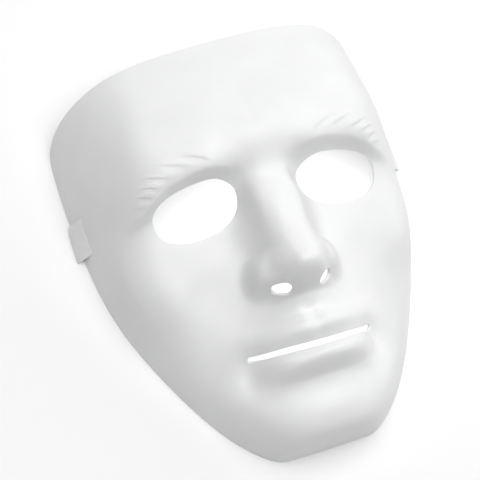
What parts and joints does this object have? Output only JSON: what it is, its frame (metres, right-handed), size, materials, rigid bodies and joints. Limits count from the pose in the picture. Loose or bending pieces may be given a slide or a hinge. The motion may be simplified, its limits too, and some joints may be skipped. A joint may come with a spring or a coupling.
{
  "type": "masquerade mask",
  "caption": "Blank white moulded full-face party mask with eye, nostril and mouth openings and a strap loop on each side.",
  "frame": {"origin": "centre of the mask's bounding box, on the floor it lies on", "axes": "+Z out of the face and up, +Y from the chin to the forehead, +X across the face to the viewer's right"},
  "size_m": [0.188, 0.2143, 0.0867],
  "materials": {
    "white_plastic": "smooth satin white moulded plastic"
  },
  "bodies": {
    "root": {"mask_shell": "white_plastic"}
  },
  "joints": []
}
